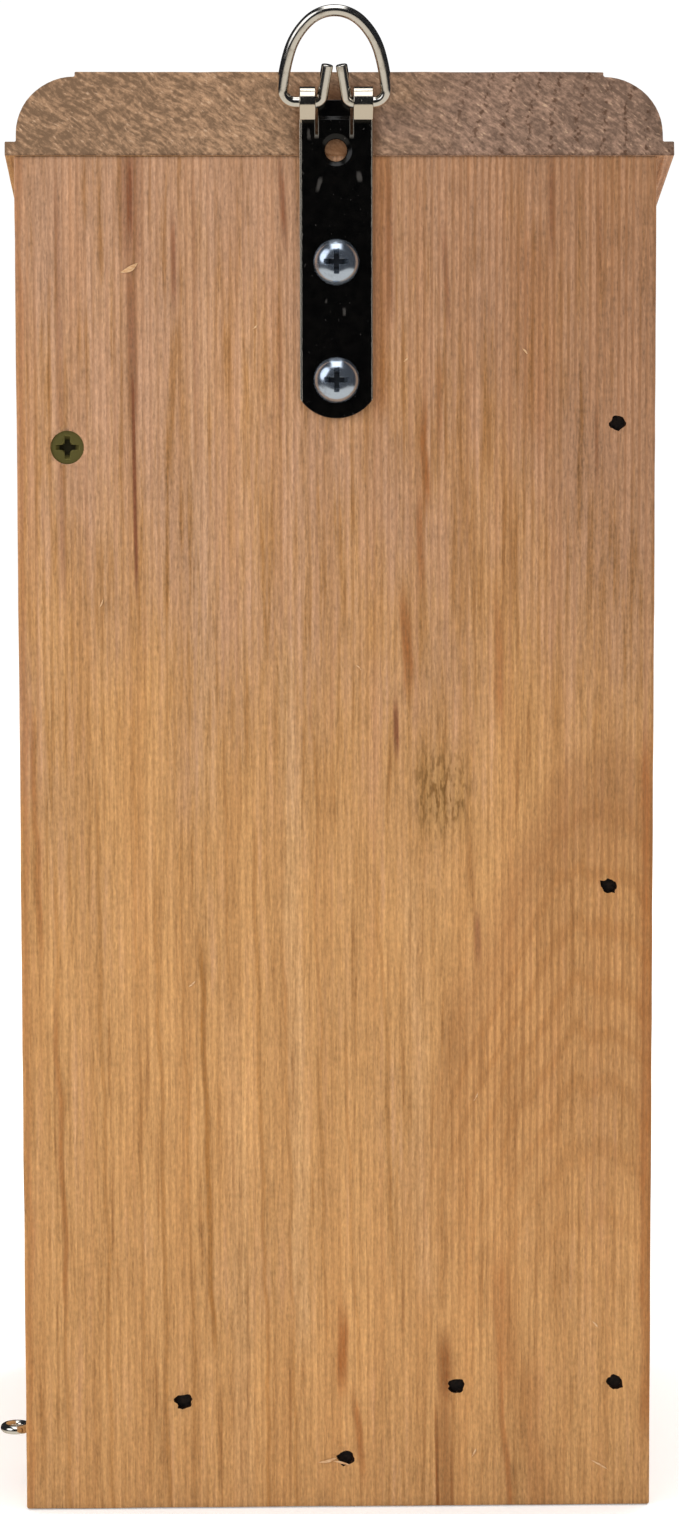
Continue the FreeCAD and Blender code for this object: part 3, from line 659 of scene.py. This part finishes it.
def strap_finish(half_width):
    """Gloss plate, near black over its flat face: a painted reflection of the dark room in the plated
    strap. Bare plate on the rolled tabs, edges rubbed bare and made wider on the lit +x side as a
    painted highlight, a faint painted glint along the slits, and a few small chips.
    """
    graph = Graph("strap_painted_reflection")
    x, y, z = graph.place()
    patches = graph.noise(x / 2.0, y / 2.0, z / 2.0, detail=3.0, roughness=0.6)
    lines = scratched(graph, x, y, z)
    chips = graph.noise(x / 0.8, y / 0.8, z / 1.5, detail=2.0, roughness=0.7)
    rolled = graph.fade(y + patches * 0.2, TABS_OUT, TABS_OUT + 0.2)
    # Edges rubbed bare, wider on the +x side where the light falls: there a painted highlight.
    lit_side_highlight = graph.fade(x, 0.0, 1.0) * 0.2
    worn_and_lit_edges = graph.fade(abs(x) + chips * 0.35 + lit_side_highlight, half_width - 0.34, half_width - 0.2)
    # A faint painted glint of bare plate along the slits' edges.
    slit_glint = graph.fade(abs(abs(x - HANGER_SHIFT) - SLIT_FROM_MIDDLE), 0.52, 0.4)
    slit_glint = slit_glint * graph.fade(z, SLIT_LOW, SLIT_LOW + 1.0) * graph.fade(z, SLIT_HIGH, SLIT_HIGH - 0.8)
    bare = graph.math("MAXIMUM", worn_and_lit_edges * 0.9, graph.math("MAXIMUM", rolled, slit_glint * 0.16))
    # Near black over the flat face: a painted reflection of the dark room in the plated strap.
    colour = graph.mix(graph.fade(patches, -0.3, 0.3), STRAP_DARK_REFLECTION, STRAP_DULL_DARK_REFLECTION)
    nicks = graph.fade(chips, 0.19, 0.27)
    for spot, low, high, width, lean, strength in STRAP_NICKS:
        nick = streak(graph, x + chips * 0.6, z, spot, low, high, width, lean) * strength
        nicks = graph.math("MAXIMUM", nicks, nick)
    colour = graph.mix(nicks * 0.7, colour, STRAP_CHIP)
    colour = graph.mix(bare, colour, BARE_PLATE)
    roughness = 0.16 - rolled * 0.06 + abs(lines) * 0.25 + patches * 0.1
    height = lines * 0.004 + patches * 0.008 - nicks * 0.02
    metallic = graph.math("MAXIMUM", bare, nicks * 0.5)
    return graph.surface(colour, roughness, height, metallic=metallic, specular=0.3)


def nail_steel():
    """Dark steel, dulled and dirty, darkened further as painted shade for the pit it lies in."""
    graph = Graph("nail_steel")
    x, y, z = graph.place()
    patches = graph.noise(x / 0.8, y / 0.8, z / 0.8, detail=3.0, roughness=0.6)
    colour = graph.mix(graph.fade(patches, -0.2, 0.25), NAIL_SHADE_BLACK, NAIL_BROWN)
    return graph.surface(colour, 0.55 + patches * 0.3, patches * 0.05, metallic=0.6)


# Shapes


def shown_as(mesh, name, materials, body, nodes):
    """Turns a bmesh into a piece that rides on a body and stands for CAD nodes."""
    data = bpy.data.meshes.new(name)
    mesh.to_mesh(data)
    mesh.free()
    for material in materials:
        data.materials.append(material)
    piece = bpy.data.objects.new(name, data)
    bpy.context.scene.collection.objects.link(piece)
    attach(piece, body)
    if nodes:
        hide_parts(*nodes)
    return piece


def welded_copy(node):
    """A CAD node's shape with its triangles merged back into whole faces."""
    mesh = bmesh.new()
    mesh.from_mesh(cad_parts[node].data)
    bmesh.ops.remove_doubles(mesh, verts=mesh.verts, dist=WELD * MM)
    bmesh.ops.dissolve_limit(
        mesh,
        angle_limit=math.radians(FLAT_ANGLE),
        verts=mesh.verts,
        edges=mesh.edges,
        delimit={"NORMAL"},
    )
    return mesh


def sharp_edges(mesh, least_angle, least_length):
    """The edges that turn by more than the angle and are longer than the length."""
    found = []
    for edge in mesh.edges:
        if len(edge.link_faces) == 2 and edge.calc_length() > least_length:
            if edge.calc_face_angle(0.0) > least_angle:
                found.append(edge)
    return found


def bevelled(mesh, edges, size, segments):
    """Rounds the edges off by the size."""
    bmesh.ops.bevel(
        mesh,
        geom=edges,
        offset=size,
        offset_type="OFFSET",
        segments=segments,
        profile=0.5,
        affect="EDGES",
        clamp_overlap=True,
    )


def sliced(mesh, spacing):
    """Cuts every face along a grid, so that it can be made uneven."""
    low = Vector([min(vert.co[i] for vert in mesh.verts) for i in range(3)])
    high = Vector([max(vert.co[i] for vert in mesh.verts) for i in range(3)])
    for axis in range(3):
        direction = Vector([1.0 if i == axis else 0.0 for i in range(3)])
        steps = int((high[axis] - low[axis]) / spacing)
        for step in range(1, steps):
            place = Vector(low)
            place[axis] = low[axis] + (high[axis] - low[axis]) * step / steps
            bmesh.ops.bisect_plane(
                mesh,
                geom=mesh.verts[:] + mesh.edges[:] + mesh.faces[:],
                dist=1e-7,
                plane_co=place,
                plane_no=direction,
            )


def uneven(mesh, amount, seed):
    """Moves each point a little along its normal, smoothly from place to place."""
    mesh.normal_update()
    offset = Vector((seed * 3.1, seed * 1.7, seed * 2.3))
    for vert in mesh.verts:
        wave = noise.noise(vert.co / (16 * MM) + offset)
        ripple = noise.noise(vert.co / (4 * MM) + offset)
        vert.co += vert.normal * (wave * 0.6 + ripple * 0.4) * amount


def smooth_by_angle(piece, angle):
    """Shades the piece smooth except over edges that turn by more than the angle, in degrees."""
    for polygon in piece.data.polygons:
        polygon.use_smooth = True
    piece.data.set_sharp_from_angle(angle=math.radians(angle))


def nail_spots():
    """Where each nail's head is and which way it faces: (place, outward)."""
    spots = []
    for name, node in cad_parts.items():
        if not name.startswith("nails_"):
            continue
        mesh = bmesh.new()
        mesh.from_mesh(node.data)
        bmesh.ops.remove_doubles(mesh, verts=mesh.verts, dist=WELD * MM)
        for nail in separate_solids(mesh):
            spots.append(head_of([vert.co.copy() for vert in nail]))
        mesh.free()
    return spots


def separate_solids(mesh):
    """The points of each separate solid in a mesh, in the mesh's own order."""
    mesh.verts.index_update()
    reached = set()
    solids = []
    for first in mesh.verts:
        if first.index in reached:
            continue
        reached.add(first.index)
        solid = [first]
        for vert in solid:
            for edge in vert.link_edges:
                other = edge.other_vert(vert)
                if other.index not in reached:
                    reached.add(other.index)
                    solid.append(other)
        solids.append(solid)
    return solids


def head_of(points):
    """The centre of a nail's head and its outward direction, from the nail's points."""
    centre = sum(points, Vector()) / len(points)
    far = max(points, key=lambda point: (point - centre).length)
    other = max(points, key=lambda point: (point - far).length)
    along = (far - other).normalized()
    heads = [point for point in points if (point - far).dot(along) > -HEAD_SLACK * MM]
    tails = [point for point in points if (point - other).dot(along) < HEAD_SLACK * MM]
    if spread(tails) > spread(heads):
        heads, along = tails, -along
    return sum(heads, Vector()) / len(heads), along_axis(along)


def spread(points):
    """How far from their middle the points reach."""
    centre = sum(points, Vector()) / len(points)
    return max((point - centre).length for point in points)


def along_axis(direction):
    """The nearest of the directions that nails are driven in."""
    roof = Vector((0, -math.sin(ROOF_PITCH), math.cos(ROOF_PITCH)))
    choices = [Vector((0, 1, 0)), Vector((0, -1, 0)), Vector((1, 0, 0)), Vector((-1, 0, 0)), roof]
    return max(choices, key=lambda choice: choice.dot(direction))


# The levels of a plug that cuts a pit: height over the nail's head, radius and raggedness
CUTTER_LEVELS = [
    (-0.02, 1.54, 0.04),
    (0.7, 1.62, 0.2),
    (1.3, 1.75, 0.42),
    (1.62, 1.95, 0.6),
    (2.6, 2.1, 0.6),
]


def pit_cutter(place, outward, seed):
    """A ragged plug that widens upwards from a sunk nail head, most of all along its own lean."""
    mesh = bmesh.new()
    turn = outward.to_track_quat("Z", "Y").to_matrix().to_4x4()
    sides = 22
    lean = noise.noise(Vector((seed * 1.7, 0.5, 0.5))) * 1.4
    rings = []
    for height, radius, rag in CUTTER_LEVELS:
        ring = []
        for step in range(sides):
            angle = FULL_TURN * step / sides
            spot = Vector((math.cos(angle), math.sin(angle), 0.0))
            wide = noise.noise(spot * 1.1 + Vector((seed * 5.3, 0, seed)))
            fine = noise.noise(spot * 3.4 + Vector((seed * 2.9, seed, 0)))
            share = 0.1 + 0.9 * abs(math.cos(angle - lean)) ** 1.5
            growth = radius - BORE_RADIUS + rag * (wide * 1.7 + fine * 1.2)
            reach = max(CUTTER_RADIUS + share * growth * 1.05, LEAST_CUTTER_RADIUS) * MM
            ring.append(mesh.verts.new(spot * reach + Vector((0, 0, height * MM))))
        rings.append(ring)
    for lower, upper in zip(rings, rings[1:]):
        for step in range(sides):
            after = (step + 1) % sides
            mesh.faces.new((lower[step], lower[after], upper[after], upper[step]))
    mesh.faces.new(list(reversed(rings[0])))
    mesh.faces.new(rings[-1])
    mesh.transform(Matrix.Translation(place) @ turn)
    data = bpy.data.meshes.new("cutter")
    mesh.to_mesh(data)
    mesh.free()
    cutter = bpy.data.objects.new("cutter", data)
    bpy.context.scene.collection.objects.link(cutter)
    return cutter


def cut_pits(piece, spots, material, first_seed):
    """Cuts a ragged pit at each nail whose head is in the piece's box."""
    corners = [Vector(corner) for corner in piece.bound_box]
    low = Vector([min(corner[i] for corner in corners) - MM for i in range(3)])
    high = Vector([max(corner[i] for corner in corners) + MM for i in range(3)])
    for number, (place, outward) in enumerate(spots):
        mouth = place + outward * NAIL_SUNK * MM
        if not all(low[i] <= mouth[i] <= high[i] for i in range(3)):
            continue
        if not on_surface(piece, mouth, outward):
            continue
        cutter = pit_cutter(place, outward, first_seed + number)
        cutter.data.materials.append(material)
        change = piece.modifiers.new("pit", "BOOLEAN")
        change.operation = "DIFFERENCE"
        change.solver = "EXACT"
        change.material_mode = "TRANSFER"
        change.object = cutter
        apply_modifiers(piece)
        bpy.data.objects.remove(cutter)


def on_surface(piece, mouth, outward):
    """Whether the piece's own surface is at the mouth, beside the bore on any side of it."""
    inverse = piece.matrix_world.inverted()
    beside = outward.orthogonal().normalized() * 2.4 * MM
    for turn in range(6):
        spin = Matrix.Rotation(FULL_TURN * (turn + 0.37) / 6, 4, outward)
        start = inverse @ (mouth + spin @ beside + outward * 0.8 * MM)
        if piece.ray_cast(start, -outward, distance=1.4 * MM)[0]:
            return True
    return False


def apply_modifiers(piece):
    """Turns what the piece's modifiers make into its own mesh."""
    bpy.context.view_layer.update()
    shown = piece.evaluated_get(bpy.context.evaluated_depsgraph_get())
    data = bpy.data.meshes.new_from_object(shown)
    old = piece.data
    piece.modifiers.clear()
    piece.data = data
    bpy.data.meshes.remove(old)


def board(node, name, material, body, seed, pits, crushed):
    """A sawn board: eased edges, slightly uneven faces and ragged nail pits."""
    mesh = welded_copy(node)
    edges = sharp_edges(mesh, math.radians(BOARD_EDGE_ANGLE), BOARD_SHORTEST_EDGE * MM)
    bevelled(mesh, edges, BOARD_EASE * MM, 2)
    sliced(mesh, BOARD_GRID * MM)
    uneven(mesh, BOARD_UNEVENNESS * MM, seed)
    piece = shown_as(mesh, name, [material, crushed], body, [node])
    cut_pits(piece, pits, crushed, seed * 20)
    smooth_by_angle(piece, BOARD_SMOOTH_ANGLE)


def polished(node, name, material, body, ease, least_angle=28):
    """A metal part with its sharp edges broken."""
    mesh = welded_copy(node)
    edges = sharp_edges(mesh, math.radians(least_angle), 0.02 * MM)
    bevelled(mesh, edges, ease, 2)
    piece = shown_as(mesh, name, [material], body, [node])
    smooth_by_angle(piece, 40)
    change = piece.modifiers.new("normals", "WEIGHTED_NORMAL")
    change.keep_sharp = True
    apply_modifiers(piece)


def keep(node, material):
    """A CAD node that stays, with a better material."""
    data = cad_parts[node].data
    data.materials.clear()
    data.materials.append(material)


# The object


def splinter(mesh, start, end, width, rise):
    """A torn curl of wood that lies on the back board: pointed at both ends and lifted in the middle."""
    steps, sides = 8, 6
    path = end - start
    across = path.cross(Vector((0, 1, 0))).normalized()
    rings = []
    for step in range(1, steps):
        share = step / steps
        bulge = math.sin(math.pi * share)
        middle = start + path * share + Vector((0, rise * bulge, 0)) + across * width * 0.3 * bulge
        ring = []
        for side in range(sides):
            angle = FULL_TURN * side / sides
            reach = across * (math.cos(angle) * width / 2 * bulge)
            lift = Vector((0, math.sin(angle) * width / 5 * bulge, 0))
            ring.append(mesh.verts.new(middle + reach + lift))
        rings.append(ring)
    first, last = mesh.verts.new(start), mesh.verts.new(end)
    for side in range(sides):
        after = (side + 1) % sides
        mesh.faces.new((first, rings[0][after], rings[0][side]))
        mesh.faces.new((last, rings[-1][side], rings[-1][after]))
        for lower, upper in zip(rings, rings[1:]):
            mesh.faces.new((lower[side], lower[after], upper[after], upper[side]))


def torn_wood():
    """Fresh pale fibres."""
    graph = Graph("torn_wood")
    x, y, z = graph.place()
    fibres = graph.noise(x / 1.6, y / 0.4, z / 0.3, detail=2.0)
    colour = graph.mix(graph.fade(fibres, -0.25, 0.25), TORN_SHADE, TORN_PALE)
    return graph.surface(colour, 0.7 + fibres * 0.2, fibres * 0.05, specular=0.2)


# Curls of torn wood on the back board's face: start and end at (x, z), width and rise
CURLS = [
    ((46.9, 274.9), (43.1, 277.0), 1.2, 0.35),
    ((4.6, 10.2), (0.2, 11.3), 0.7, 0.3),
    ((-3.0, 9.4), (1.6, 10.6), 0.5, 0.2),
    ((18.3, 262.6), (17.2, 263.6), 0.4, 0.15),
    ((-41.8, 257.0), (-40.6, 258.4), 0.4, 0.15),
    ((-14.6, 255.4), (-15.8, 256.6), 0.35, 0.12),
    ((33.0, 118.0), (31.4, 119.4), 0.45, 0.15),
    ((-30.2, 92.0), (-31.2, 94.0), 0.35, 0.15),
    ((-58.2, 40.4), (-56.8, 42.0), 0.4, 0.15),
    ((-60.6, 8.0), (-56.4, 10.4), 0.4, 0.2),
    ((-29.8, 11.2), (-30.9, 13.4), 0.45, 0.2),
    ((52.0, 202.0), (51.2, 204.0), 0.35, 0.15),
    ((-5.4, 188.0), (-4.2, 189.2), 0.35, 0.15),
]


def build_splinters():
    mesh = bmesh.new()
    for start, end, width, rise in CURLS:
        low = Vector((start[0] * MM, 0, start[1] * MM))
        high = Vector((end[0] * MM, 0, end[1] * MM))
        splinter(mesh, low, high, width * MM, rise * MM)
    bmesh.ops.recalc_face_normals(mesh, faces=mesh.faces)
    piece = shown_as(mesh, "back_board_splinters", [torn_wood()], "house", [])
    smooth_by_angle(piece, 60)


def build_boards():
    crushed = pit_wood()
    pits = nail_spots()
    back = cedar(
        "cedar_back",
        upright_by_x,
        1,
        (150.0, 60.0),
        9.5,
        back_warmth,
        marks=back_board_marks,
        ring_depth=0.12,
    )
    front = cedar("cedar_front", upright_by_x, 2, (-30.0, -190.0), 7.0, even_warmth)
    fixed = cedar("cedar_fixed_side", upright_by_y, 3, (-90.0, 20.0), 6.0, even_warmth)
    door = cedar("cedar_door", upright_by_y, 4, (-40.0, 120.0), 8.0, even_warmth)
    base = cedar("cedar_floor", level_by_x, 5, (-60.0, 90.0), 6.5, even_warmth)
    roof = cedar("cedar_roof", sloped, 6, (10.0, 245.0), 5.5, roof_warmth, end_rows=True)
    board("back_board", "back_board_sawn", back, "house", 1, pits, crushed)
    board("front_board", "front_board_sawn", front, "house", 2, pits, crushed)
    board("fixed_side_panel", "fixed_side_sawn", fixed, "house", 3, pits, crushed)
    board("clean_out_door", "clean_out_door_sawn", door, "door", 4, [], crushed)
    board("floor_board", "floor_board_sawn", base, "house", 5, [], crushed)
    board("roof_board", "roof_board_moulded", roof, "house", 6, pits, crushed)


def build_metal():
    nickel = bright_plate("nickel", NICKEL, 0.12)
    steel = nail_steel()
    strap_low, strap_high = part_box("hanger_strap")
    # The strap's material, with a painted dark reflection over its flat face.
    black = strap_finish((strap_high.x - strap_low.x) / 2 / MM)
    polished("hanger_strap", "hanger_strap_plate", black, "house", 0.25 * MM)
    polished("hanger_ring", "hanger_ring_wire", nickel, "ring", 0.3 * MM, 70)
    polished("latch_pin", "latch_pin_wire", nickel, "latch", 0.2 * MM, 50)
    for node in ("hanger_screw_upper", "hanger_screw_lower"):
        centre = head_centre(node, 1)
        zinc = bright_plate(node + "_zinc", ZINC, 0.18, metallic=0.95, recess=centre)
        polished(node, node + "_plated", zinc, "house", 0.1 * MM)
    for node, outward in (("pivot_screw_rear", 1), ("pivot_screw_front", -1)):
        centre = head_centre(node, outward)
        yellow = bright_plate(node + "_zinc", YELLOW_ZINC, 0.28, metallic=0.8, recess=centre)
        polished(node, node + "_plated", yellow, "house", 0.1 * MM)
    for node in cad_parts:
        if node.startswith("nails_"):
            keep(node, steel)


# Studio


FLOOR_SHADE = (0.9, 0.9, 0.9, 1.0)
FLOOR_WHITE = (0.94, 0.94, 0.94, 1.0)
FLOOR_GLOW = 0.22
STUDIO_WHITE = (1.04, 1.04, 1.04, 1.0)
ROOM_DARK = (0.014, 0.015, 0.018, 1.0)
ROOM_GROUND = (0.71, 0.66, 0.58, 1.0)
WINDOW_WHITE = (1.5, 1.52, 1.56, 1.0)
STRIP_WHITE = (1.9, 1.9, 1.9, 1.0)


def build_floor():
    mesh = bmesh.new()
    bmesh.ops.create_grid(mesh, x_segments=24, y_segments=24, size=4.0)
    data = bpy.data.meshes.new("studio_floor")
    mesh.to_mesh(data)
    mesh.free()
    graph = Graph("pale_floor")
    x, y, z = graph.place()
    grit = graph.noise(x / 2.0, y / 2.0, z, detail=2.0)
    colour = graph.mix(graph.fade(grit, -0.3, 0.3), FLOOR_SHADE, FLOOR_WHITE)
    roughness = 0.85 + grit * 0.1
    data.materials.append(graph.surface(colour, roughness, grit * 0.01, specular=0.1, glow=FLOOR_GLOW))
    floor = bpy.data.objects.new("studio_floor", data)
    floor.location.z = cad_low.z - FLOOR_GAP * MM
    floor.visible_glossy = False
    bpy.context.scene.collection.objects.link(floor)


class Surroundings(Graph):
    """The world's node tree. Its point is the direction that a ray leaves in."""

    def __init__(self, name):
        world = bpy.data.worlds.new(name)
        bpy.context.scene.world = world
        world.use_nodes = True
        self.tree = world.node_tree
        self.tree.nodes.clear()
        self.coordinates = self.add("ShaderNodeTexCoord")


def build_world():
    """White all round. Glossy surfaces see a dark room with a pale floor, a strip of light overhead
    and a window beside the rear."""
    graph = Surroundings("studio")
    x, y, z = graph.split("Generated", 1.0)
    strip = graph.fade(abs(x), 0.36, 0.2) * graph.fade(z, 0.62, 0.74) * graph.fade(y, -0.5, -0.34)
    window = graph.fade(x * 0.7 + y * 0.6 + z * 0.39, 0.9, 0.95)
    ground = graph.fade(z, -0.27, -0.41)
    room = graph.mix(ground, ROOM_DARK, ROOM_GROUND)
    room = graph.mix(window, room, WINDOW_WHITE)
    room = graph.mix(strip, room, STRIP_WHITE)
    path = graph.add("ShaderNodeLightPath")
    glossy = Term(graph, path.outputs["Is Glossy Ray"])
    colour = graph.mix(glossy, STUDIO_WHITE, room)
    background = graph.add("ShaderNodeBackground")
    graph.feed(background.inputs[0], colour)
    output = graph.add("ShaderNodeOutputWorld")
    graph.tree.links.new(background.outputs[0], output.inputs[0])


def softbox(name, place, target, size, watts):
    """A soft lamp that glossy surfaces don't see. The world holds what they reflect."""
    light = bpy.data.lights.new(name, "AREA")
    light.shape = "RECTANGLE"
    light.size = size[0]
    light.size_y = size[1]
    light.energy = watts
    lamp = bpy.data.objects.new(name, light)
    lamp.location = place
    lamp.rotation_euler = (Vector(target) - Vector(place)).to_track_quat("-Z", "Y").to_euler()
    lamp.visible_glossy = False
    bpy.context.scene.collection.objects.link(lamp)


def build_lights():
    middle = (cad_low + cad_high) / 2
    softbox("rear_key", REAR_LAMP, middle, REAR_LAMP_SIZE, LAMP_WATTS)
    softbox("front_key", FRONT_LAMP, middle, FRONT_LAMP_SIZE, LAMP_WATTS)


def build_camera():
    camera = bpy.data.cameras.new("camera")
    camera.lens = CAMERA_LENS
    camera.sensor_width = CAMERA_SENSOR
    camera.clip_start = 0.01
    camera.clip_end = 50.0
    holder = bpy.data.objects.new("camera", camera)
    heading = Matrix.Rotation(math.radians(CAMERA_HEADING), 4, "Z")
    tilt = Matrix.Rotation(math.radians(CAMERA_TILT), 4, "X")
    roll = Matrix.Rotation(math.radians(CAMERA_ROLL), 4, "Z")
    aim = heading @ tilt @ roll
    holder.matrix_world = Matrix.Translation([step * MM for step in CAMERA_PLACE]) @ aim
    bpy.context.scene.collection.objects.link(holder)
    bpy.context.scene.camera = holder


build_boards()
build_splinters()
build_metal()
build_floor()
build_world()
build_lights()
build_camera()
bpy.context.scene.view_settings.view_transform = "Standard"
